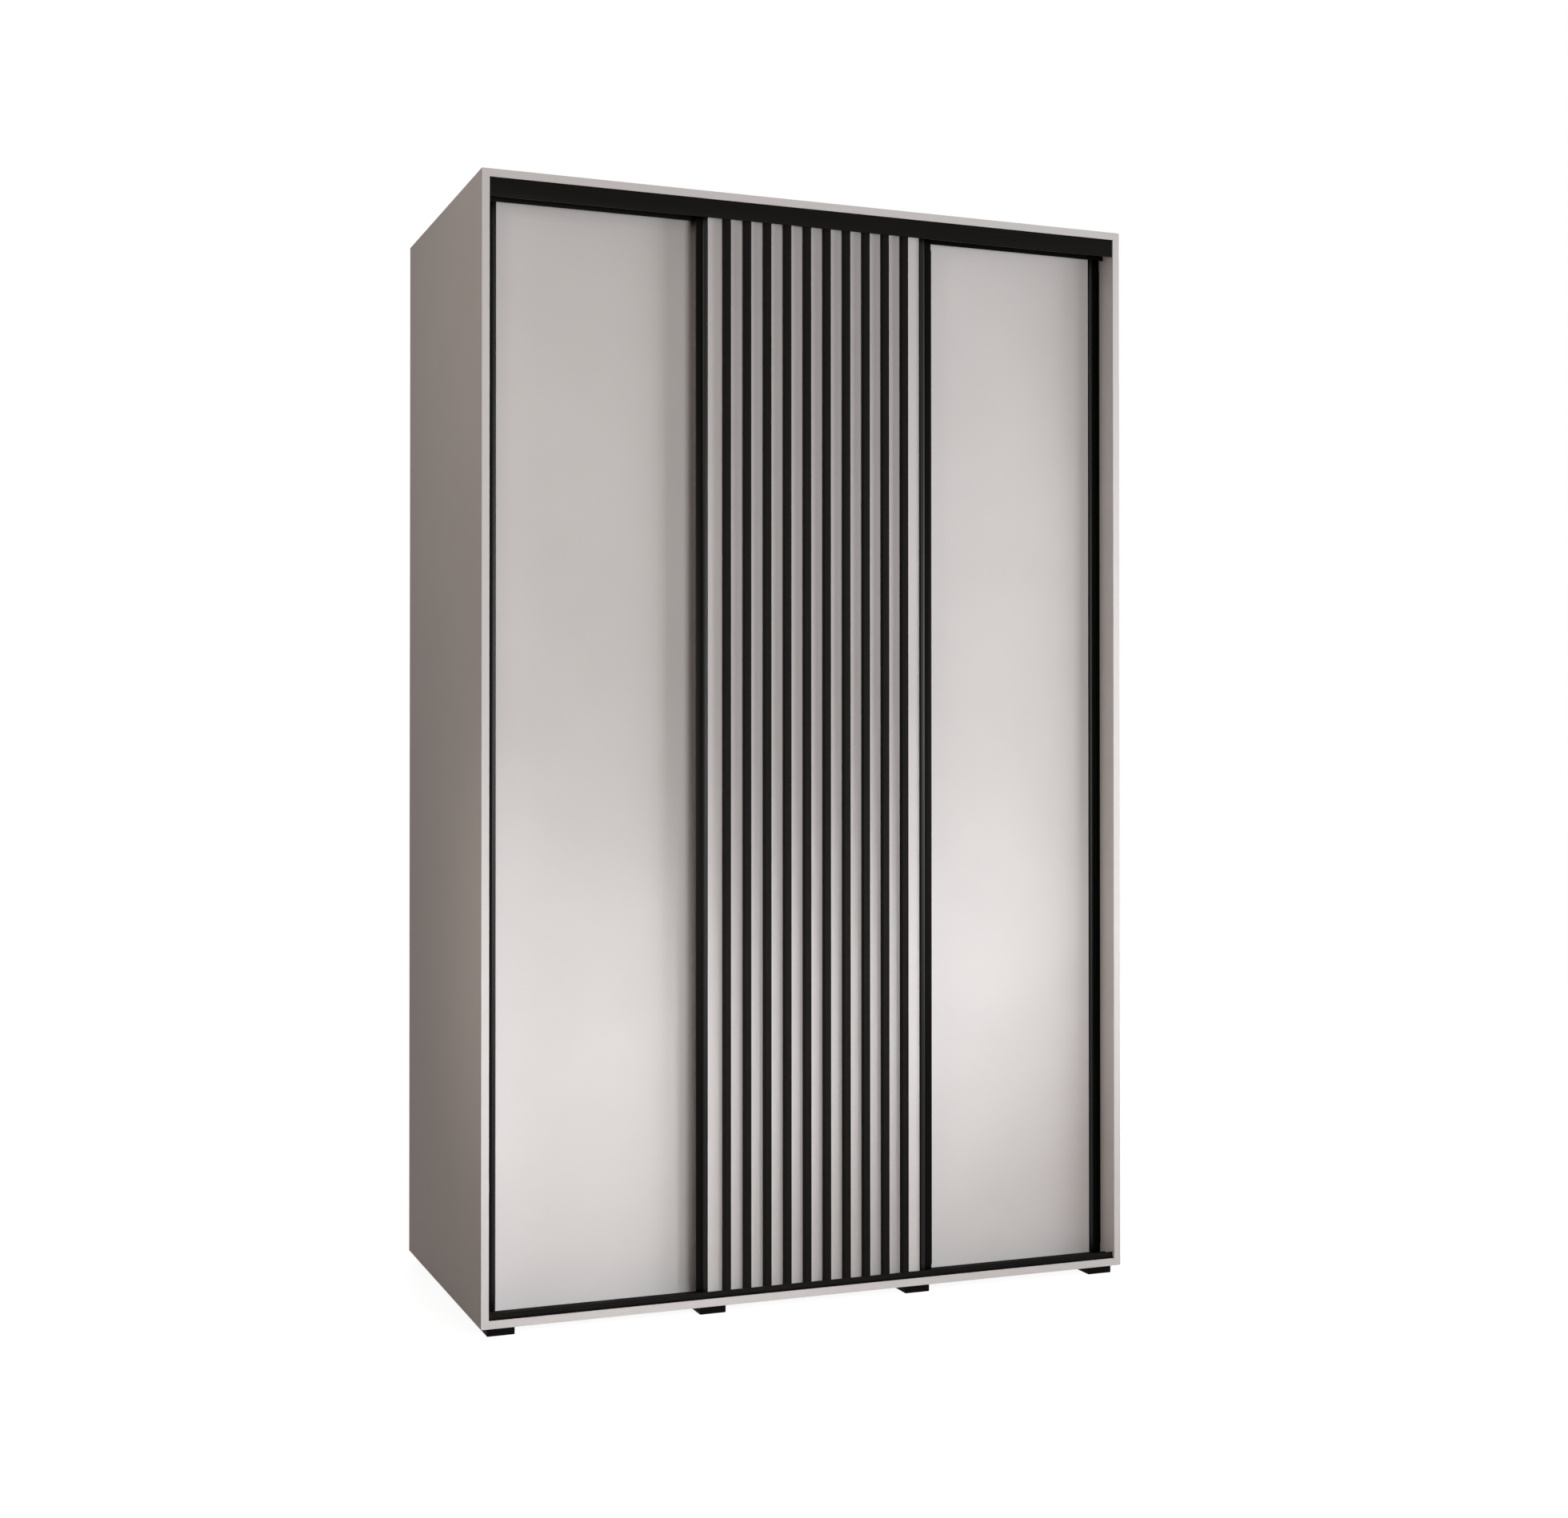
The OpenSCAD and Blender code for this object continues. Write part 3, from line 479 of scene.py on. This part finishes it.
def slatTree():
    # a row of rounded bars: the section is a filleted rectangle swept up a straight line
    tree, given = newTree("slatRow", {"Count": "Int", "Pitch": "Vector", "First": "Vector", "Width": "Float",
                                      "Depth": "Float", "Height": "Float", "Corner": "Float",
                                      "Material": "Material"})
    rectangle = addNode(tree, "GeometryNodeCurvePrimitiveQuadrilateral", None,
                        {"Width": given["Width"], "Height": given["Depth"]})
    section = addNode(tree, "GeometryNodeFilletCurve", {"Count": slatLook["cornerSteps"]},
                      {"Curve": rectangle.outputs[0], "Radius": given["Corner"]}, mode="POLY")
    top = addNode(tree, "ShaderNodeCombineXYZ", None, {"Z": given["Height"]})
    path = addNode(tree, "GeometryNodeCurvePrimitiveLine", None, {"End": top.outputs[0]})
    bar = addNode(tree, "GeometryNodeCurveToMesh", {"Fill Caps": True},
                  {"Curve": path.outputs[0], "Profile Curve": section.outputs[0]})
    places = addNode(tree, "GeometryNodeMeshLine", None,
                     {"Count": given["Count"], "Start Location": given["First"], "Offset": given["Pitch"]})
    row = addNode(tree, "GeometryNodeInstanceOnPoints", None,
                  {"Points": places.outputs[0], "Instance": bar.outputs[0]})
    return closeTree(tree, row.outputs[0], given["Material"])


low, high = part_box("middle_door_slats")
slatPitch = (high.x - low.x - slatLook["width"]) / (slatLook["count"] - 1)
slats = grow(emptyHolder("middle_door_slat_bars"), slatTree(), {
    "Count": slatLook["count"], "Pitch": (slatPitch, 0, 0),
    "First": (low.x + slatLook["width"] / 2, (low.y + high.y) / 2, low.z),
    "Width": slatLook["width"], "Depth": high.y - low.y, "Height": high.z - low.z,
    "Corner": slatLook["corner"], "Material": foil})
slats.data.set_sharp_from_angle(angle=math.radians(smoothAngle))
standFor(slats, "middle_door", "black_slat", "middle_door_slats")
print("slats made")


def repeatTree():
    # a unit piece set on every point of a mesh, turned by the point's own attribute
    tree, given = newTree("repeatedPiece", {"Unit": "Object", "Material": "Material"})
    unit = addNode(tree, "GeometryNodeObjectInfo", None, {"Object": given["Unit"]})
    turn = addNode(tree, "GeometryNodeInputNamedAttribute", {"Name": "turn"}, data_type="FLOAT_VECTOR")
    row = addNode(tree, "GeometryNodeInstanceOnPoints", None,
                  {"Points": given["Geometry"], "Instance": unit.outputs["Geometry"],
                   "Rotation": turn.outputs[0]})
    return closeTree(tree, row.outputs[0], given["Material"])


repeated = repeatTree()


def repeatPiece(name, unit, places, turns, material, slot, nodeName):
    piece = grow(emptyHolder(name, places, turns), repeated, {"Unit": unit, "Material": material})
    piece.data.set_sharp_from_angle(angle=math.radians(smoothAngle))
    standFor(piece, "carcass", slot, nodeName)
    bpy.data.objects.remove(unit)


def solidsOf(nodeName):
    # the box of each separate solid of a CAD node
    bm = welded(nodeName)
    seen, found = set(), []
    for start in bm.verts:
        if start in seen:
            continue
        stack, points = [start], []
        seen.add(start)
        while stack:
            vert = stack.pop()
            points.append(vert.co)
            for edge in vert.link_edges:
                other = edge.other_vert(vert)
                if other not in seen:
                    seen.add(other)
                    stack.append(other)
        found.append((Vector(min(p[a] for p in points) for a in range(3)),
                      Vector(max(p[a] for p in points) for a in range(3))))
    bm.free()
    return found


up, down, back, across = (0, 0, 1), (0, 0, -1), (0, 1, 0), (1, 0, 0)


def facing(direction):
    # the turn that brings a unit piece's +Z to a direction
    return Vector(up).rotation_difference(Vector(direction)).to_euler()


def lathe(name, profile, sides):
    # profile is a closed or axis-to-axis list of (radius, height)
    bm = bmesh.new()
    rings = []
    for radius, height in profile:
        if not radius:
            rings.append([bm.verts.new((0, 0, height))])
        else:
            rings.append([bm.verts.new((radius * math.cos(a), radius * math.sin(a), height))
                          for a in (2 * math.pi * i / sides for i in range(sides))])
    closed = len(rings[0]) > 1
    pairs = list(zip(rings, rings[1:])) + ([(rings[-1], rings[0])] if closed else [])
    for lower, upper in pairs:
        for i in range(sides):
            j = (i + 1) % sides
            corners = [lower[i % len(lower)], lower[j % len(lower)],
                       upper[j % len(upper)], upper[i % len(upper)]]
            bm.faces.new(list(dict.fromkeys(corners)))
    bmesh.ops.recalc_face_normals(bm, faces=bm.faces)
    return finishMesh(bm, name, [])


def boxMesh(name, low, high):
    bm = bmesh.new()
    bmesh.ops.create_cube(bm, size=1)
    for vert in bm.verts:
        vert.co = Vector(low[a] if vert.co[a] < 0 else high[a] for a in range(3))
    return finishMesh(bm, name, [])


def carve(piece, *cutters):
    # takes the cutters' shapes out of a unit piece
    for cutter in cutters:
        modifier = piece.modifiers.new("carve", "BOOLEAN")
        modifier.operation, modifier.solver, modifier.object = "DIFFERENCE", "EXACT", cutter
    bpy.context.view_layer.update()
    mesh = bpy.data.meshes.new_from_object(piece.evaluated_get(bpy.context.evaluated_depsgraph_get()))
    piece.modifiers.clear()
    piece.data = mesh
    for cutter in cutters:
        bpy.data.objects.remove(cutter)
    return piece


screwLook = {"head": 4 * mm, "height": 2 * mm, "rim": 0.5 * mm, "domeSteps": 6, "point": 0.3, "sides": 28,
             "crossLength": 4.2 * mm, "crossWidth": 0.9 * mm, "crossDepth": 1.2 * mm, "cutAbove": 1 * mm,
             "carcassShank": 2 * mm, "doorShank": 1.75 * mm, "highFrom": 1.0}


def screwUnit(shank, length):
    # pan head with a cross recess; the top of the head is at the origin
    s = screwLook
    head, height, rim = s["head"], s["height"], s["rim"]
    arc = [(head * math.sin(a), -height + rim + (height - rim) * math.cos(a))
           for a in (math.pi / 2 * i / s["domeSteps"] for i in range(s["domeSteps"] + 1))]
    body = arc + [(head, -height), (shank, -height), (shank, -length + shank),
                  (shank * s["point"], -length), (0, -length)]
    wide, narrow, deep, above = s["crossLength"] / 2, s["crossWidth"] / 2, s["crossDepth"], s["cutAbove"]
    return carve(lathe("screwUnit", body, s["sides"]),
                 boxMesh("crossA", (-wide, -narrow, -deep), (wide, narrow, above)),
                 boxMesh("crossB", (-narrow, -wide, -deep), (narrow, wide, above)))


def isLow(low):
    return low.z < screwLook["highFrom"]  # screws of the bottom fittings


def isHigh(low):
    return low.z > screwLook["highFrom"]  # screws of the top fittings


def screwRow(nodeName, pick, heads, shank, material):
    # screws whose heads point one way; pick chooses among the node's solids
    places, turns, length = [], [], 0
    axis = 1 if heads == back else 2
    for low, high in solidsOf(nodeName):
        if pick(low):
            middle = (low + high) / 2
            middle[axis] = low[axis] if heads == down else high[axis]
            places.append(middle)
            turns.append(facing(heads))
            length = high[axis] - low[axis]
    return screwUnit(shank, length), places, turns, material


def joinRows(name, rows, body, slot, nodeName):
    # several grown rows on one body become one piece
    bm = bmesh.new()
    materials = []
    for unit, places, turns, material in rows:
        grown = grow(emptyHolder(name + "_part", places, turns), repeated,
                     {"Unit": unit, "Material": material})
        first = len(bm.faces)
        bm.from_mesh(grown.data)
        bm.faces.ensure_lookup_table()
        if material not in materials:
            materials.append(material)
        for face in bm.faces[first:]:
            face.material_index = materials.index(material)
        bpy.data.objects.remove(grown)
        bpy.data.objects.remove(unit)
    standFor(finishMesh(bm, name, materials), body, slot, nodeName)


joinRows("track_screw_heads", [
    screwRow("track_screws", isLow, up, screwLook["carcassShank"], powder),
    screwRow("track_screws", isHigh, down, screwLook["carcassShank"], powder),
], "carcass", "black_steel", "track_screws")
joinRows("foot_screw_heads", [
    screwRow("foot_screws", isLow, down, screwLook["carcassShank"], zinc),
], "carcass", "zinc_steel", "foot_screws")
for door in doors:
    joinRows(door + "_screw_heads", [
        screwRow(door + "_screws", isLow, back, screwLook["doorShank"], powder),
        screwRow(door + "_screws", isHigh, up, screwLook["doorShank"], powder),
    ], door, "black_steel", door + "_screws")

nailLook = {"head": 2.5 * mm, "thick": 0.8 * mm, "shaft": 0.9 * mm, "length": 20 * mm, "dome": 0.25 * mm,
            "shoulder": 0.7, "shoulderDrop": 0.4, "point": 2 * mm, "sides": 20}


def nailUnit():
    # flat nail with a slightly domed head; the top of the head is at the origin
    n = nailLook
    return lathe("nailUnit", [
        (0, 0), (n["head"] * n["shoulder"], -n["dome"] * n["shoulderDrop"]), (n["head"], -n["dome"]),
        (n["head"], -n["thick"]), (n["shaft"], -n["thick"]), (n["shaft"], -n["length"] + n["point"]),
        (0, -n["length"])], n["sides"])


nailPlaces = [Vector(((low.x + high.x) / 2, high.y, (low.z + high.z) / 2))
              for low, high in solidsOf("back_nails")]
repeatPiece("back_nail_heads", nailUnit(), nailPlaces, [facing(back)] * len(nailPlaces), zinc,
            "zinc_steel", "back_nails")

pinLook = {"radius": 2.5 * mm, "nose": 0.6 * mm, "groove": 0.35 * mm, "grooveShare": 3, "sides": 24}


def pinUnit(length):
    # straight pin with eased ends and a shallow groove around its middle third
    half, third = length / 2, length / pinLook["grooveShare"]
    r, nose, groove = pinLook["radius"], pinLook["nose"], pinLook["groove"]
    return lathe("pinUnit", [
        (0, -half), (r - nose, -half), (r, -half + nose),
        (r, -third / 2), (r - groove, -third / 2 + groove), (r - groove, third / 2 - groove),
        (r, third / 2), (r, half - nose), (r - nose, half), (0, half)], pinLook["sides"])


pinSolids = solidsOf("shelf_pins")
repeatPiece("shelf_pin_row", pinUnit(pinSolids[0][1].x - pinSolids[0][0].x),
            [(low + high) / 2 for low, high in pinSolids], [facing(across)] * len(pinSolids), zinc,
            "zinc_steel", "shelf_pins")

footLook = {"corner": 1.6 * mm, "cornerSteps": 5, "chamfer": 0.8 * mm, "pocket": 5 * mm,
            "pocketDepth": 7 * mm, "screw": 2 * mm, "sides": 28, "cutPast": 1 * mm}


def footUnit(width, height):
    # moulded block with rounded corners and a chamfer under it; the screw sits in a pocket
    f = footLook
    half = width / 2 / mm
    outline = roundCorners([(-half, -half), (half, -half), (half, half), (-half, half)],
                           f["corner"] / mm, f["cornerSteps"])
    inset = 1 - f["chamfer"] / (width / 2)
    bm = bmesh.new()
    levels = [(0, inset), (f["chamfer"], 1), (height, 1)]
    rings = [[bm.verts.new((p[0] * mm * scale, p[1] * mm * scale, z)) for p in outline]
             for z, scale in levels]
    for lower, upper in zip(rings, rings[1:]):
        for i in range(len(outline)):
            j = (i + 1) % len(outline)
            bm.faces.new((lower[i], lower[j], upper[j], upper[i]))
    bm.faces.new(rings[0])
    bm.faces.new(rings[-1])
    bmesh.ops.recalc_face_normals(bm, faces=bm.faces)
    foot = finishMesh(bm, "footUnit", [])
    deep, pocket, hole, past = f["pocketDepth"], f["pocket"], f["screw"], f["cutPast"]
    drill = lathe("footDrill", [(0, -past), (pocket, -past), (pocket, deep), (hole, deep),
                                (hole, height + past), (0, height + past)], f["sides"])
    return carve(foot, drill)


footSolids = solidsOf("feet")
footWidth, footHeight = footSolids[0][1].x - footSolids[0][0].x, footSolids[0][1].z
repeatPiece("block_feet", footUnit(footWidth, footHeight),
            [Vector(((low.x + high.x) / 2, (low.y + high.y) / 2, 0)) for low, high in footSolids],
            [(0, 0, 0)] * len(footSolids), moulded, "black_plastic", "feet")

wheelLook = {  # millimetres
    "bore": 3.08, "tread": 11.7, "flange": 13.7, "width": 6.0, "groove": 3.8, "round": 0.5,
    "hub": 5.2, "rim": 9.6, "dish": 0.9, "sides": 64,
}


def wheelSection():
    # half section of the wheel: (radius, place along the axle), with a dished web on both faces
    w = wheelLook
    half, side = w["width"] / 2, w["groove"] / 2
    right = [(w["bore"], half), (w["hub"], half), (w["hub"], half - w["dish"]), (w["rim"], half - w["dish"]),
             (w["rim"], half), (w["flange"], half), (w["flange"], side), (w["tread"], side)]
    left = [(radius, -along) for radius, along in reversed(right)]
    outline = roundCorners([left[-1]] + right + left[:-1], w["round"])
    return [(point[0] * mm, point[1] * mm) for point in outline]


for joint in frame["joints"]:
    body = joint["child"]
    if "_wheel_" not in body:
        continue
    nodeName = body.replace("_wheel", "_door_wheel")
    low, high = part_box(nodeName)
    wheel = lathe(nodeName + "_turned", wheelSection(), wheelLook["sides"])
    wheel.data.materials.append(nylon)
    wheel.data.transform(Matrix.Translation((low + high) / 2) @ Matrix.Rotation(math.pi / 2, 4, "X"))
    standFor(wheel, body, "white_nylon", nodeName)
print("fasteners, feet and wheels made")


studio = {  # the floor throws back a warm mid tone, and is seen white with the object's shadow
    "ambient": 0.045, "ambientColour": "#FFE6D2", "floorColour": "#937B67", "floorSize": 40.0,
    "floorSeen": "#8C8C8C", "glowNear": 0.93, "glowFar": 1.0, "nearTo": 1.4, "farFrom": 3.2,
}
front, cool, warm = (0.0, -0.35, 1.1), "#FCFEFF", "#FFF1E4"
lamps = {  # place, what it points at, size, spread in degrees, watts, colour
    "midFront": ((0.0, -3.6, 1.3), front, 1.2, 180, 40.5, cool),
    "farRight": ((4.6, -2.0, 1.3), front, 2.4, 180, 106, cool),
    "nearRight": ((2.6, -2.4, 1.4), (0.4, -0.35, 1.25), 0.7, 70, 4.9, cool),
    "highRight": ((4.6, -2.0, 2.8), front, 1.8, 180, 30, cool),
    "highLeft": ((-2.6, -0.8, 3.0), (-0.73, -0.1, 1.9), 0.8, 100, 2.5, warm),
    "frontLeft": ((-2.4, -2.2, 2.6), (-0.73, -0.3, 1.8), 0.8, 100, 3.3, warm),
    "lowLeft": ((-2.2, -0.75, 0.9), (-0.73, -0.55, 0.75), 0.7, 50, 0.36, warm),
    "poolLeft": ((-0.9, -2.4, 0.9), (-0.7, -0.35, 0.55), 0.5, 42, 0.58, cool),
    "poolMiddle": ((0.9, -2.6, 0.8), (-0.6, -0.35, 0.28), 0.5, 38, 0.85, cool),
    "poolRight": ((1.3, -2.2, 1.2), (0.28, -0.35, 0.62), 0.5, 30, 0.6, cool),
    "above": ((0.0, 0.02, 4.2), (0.0, 0.02, 2.3), 0.5, 62, 3, cool),
    "behind": ((0.6, 4.2, 2.4), (0.0, 0.35, 1.3), 2.2, 70, 30, cool),
}


def seenOrMirrored(tree):
    # 1 for what the camera sees directly, in a reflection or through glass
    path = addNode(tree, "ShaderNodeLightPath").outputs
    either = addNode(tree, "ShaderNodeMath", None, {0: path["Is Camera Ray"], 1: path["Is Glossy Ray"]},
                     operation="MAXIMUM")
    return addNode(tree, "ShaderNodeMath", None, {0: either.outputs[0], 1: path["Is Transmission Ray"]},
                   operation="MAXIMUM").outputs[0]


world = bpy.data.worlds.new("studioWorld")
bpy.context.scene.world = world
world.use_nodes = True
tree = world.node_tree
tree.nodes.clear()
dim = addNode(tree, "ShaderNodeBackground",
              {"Color": linear(studio["ambientColour"]), "Strength": studio["ambient"]})
white = addNode(tree, "ShaderNodeBackground", {"Color": (1, 1, 1, 1), "Strength": 1.0})
mix = addNode(tree, "ShaderNodeMixShader", None,
              {0: seenOrMirrored(tree), 1: dim.outputs[0], 2: white.outputs[0]})
addNode(tree, "ShaderNodeOutputWorld", None, {"Surface": mix.outputs[0]})

floorMaterial = bpy.data.materials.new("studioPaper")
floorMaterial.use_nodes = True
tree = floorMaterial.node_tree
tree.nodes.clear()
paper = addNode(tree, "ShaderNodeBsdfDiffuse", {"Color": linear(studio["floorColour"])})
coords = addNode(tree, "ShaderNodeTexCoord").outputs["Object"]
reach = addNode(tree, "ShaderNodeVectorMath", None, {0: coords}, operation="LENGTH").outputs["Value"]
fade = addNode(tree, "ShaderNodeMapRange",
               {"From Min": studio["nearTo"], "From Max": studio["farFrom"],
                "To Min": studio["glowNear"], "To Max": studio["glowFar"]}, {"Value": reach})
glow = addNode(tree, "ShaderNodeEmission", None, {"Strength": fade.outputs[0]})
shadowed = addNode(tree, "ShaderNodeBsdfDiffuse", {"Color": linear(studio["floorSeen"])})
lit = addNode(tree, "ShaderNodeAddShader", None, {0: shadowed.outputs[0], 1: glow.outputs[0]})
mix = addNode(tree, "ShaderNodeMixShader", None,
              {0: seenOrMirrored(tree), 1: paper.outputs[0], 2: lit.outputs[0]})
addNode(tree, "ShaderNodeOutputMaterial", None, {"Surface": mix.outputs[0]})
bm = bmesh.new()
bmesh.ops.create_grid(bm, x_segments=1, y_segments=1, size=studio["floorSize"] / 2)
floor = finishMesh(bm, "studio_floor", [floorMaterial])

for name, (place, aim, area, spreadAngle, watts, colour) in lamps.items():
    data = bpy.data.lights.new(name, "AREA")
    data.shape, data.size, data.energy, data.color = "SQUARE", area, watts, linear(colour)[:3]
    data.spread = math.radians(spreadAngle)
    light = bpy.data.objects.new(name, data)
    light.visible_camera = False
    light.visible_glossy = name != "behind"  # no glare along the sides in low views
    light.location = place
    light.rotation_euler = (Vector(place) - Vector(aim)).to_track_quat("Z", "Y").to_euler()
    bpy.context.scene.collection.objects.link(light)

view = {"at": (-1.7025, -4.2855, 1.1691), "turn": 0.358688, "tilt": 0.0076566,
        "lens": 46.377, "sensor": 36.0, "shift": (0.0408, -0.0140)}
cameraData = bpy.data.cameras.new("studioCamera")
cameraData.sensor_width, cameraData.lens = view["sensor"], view["lens"]
cameraData.shift_x, cameraData.shift_y = view["shift"]
camera = bpy.data.objects.new("studioCamera", cameraData)
camera.location = view["at"]
camera.rotation_euler = (math.pi / 2 + view["tilt"], 0, -view["turn"])
bpy.context.scene.collection.objects.link(camera)
bpy.context.scene.camera = camera
bpy.context.scene.view_settings.view_transform = "Standard"
print("floor, light and camera set")
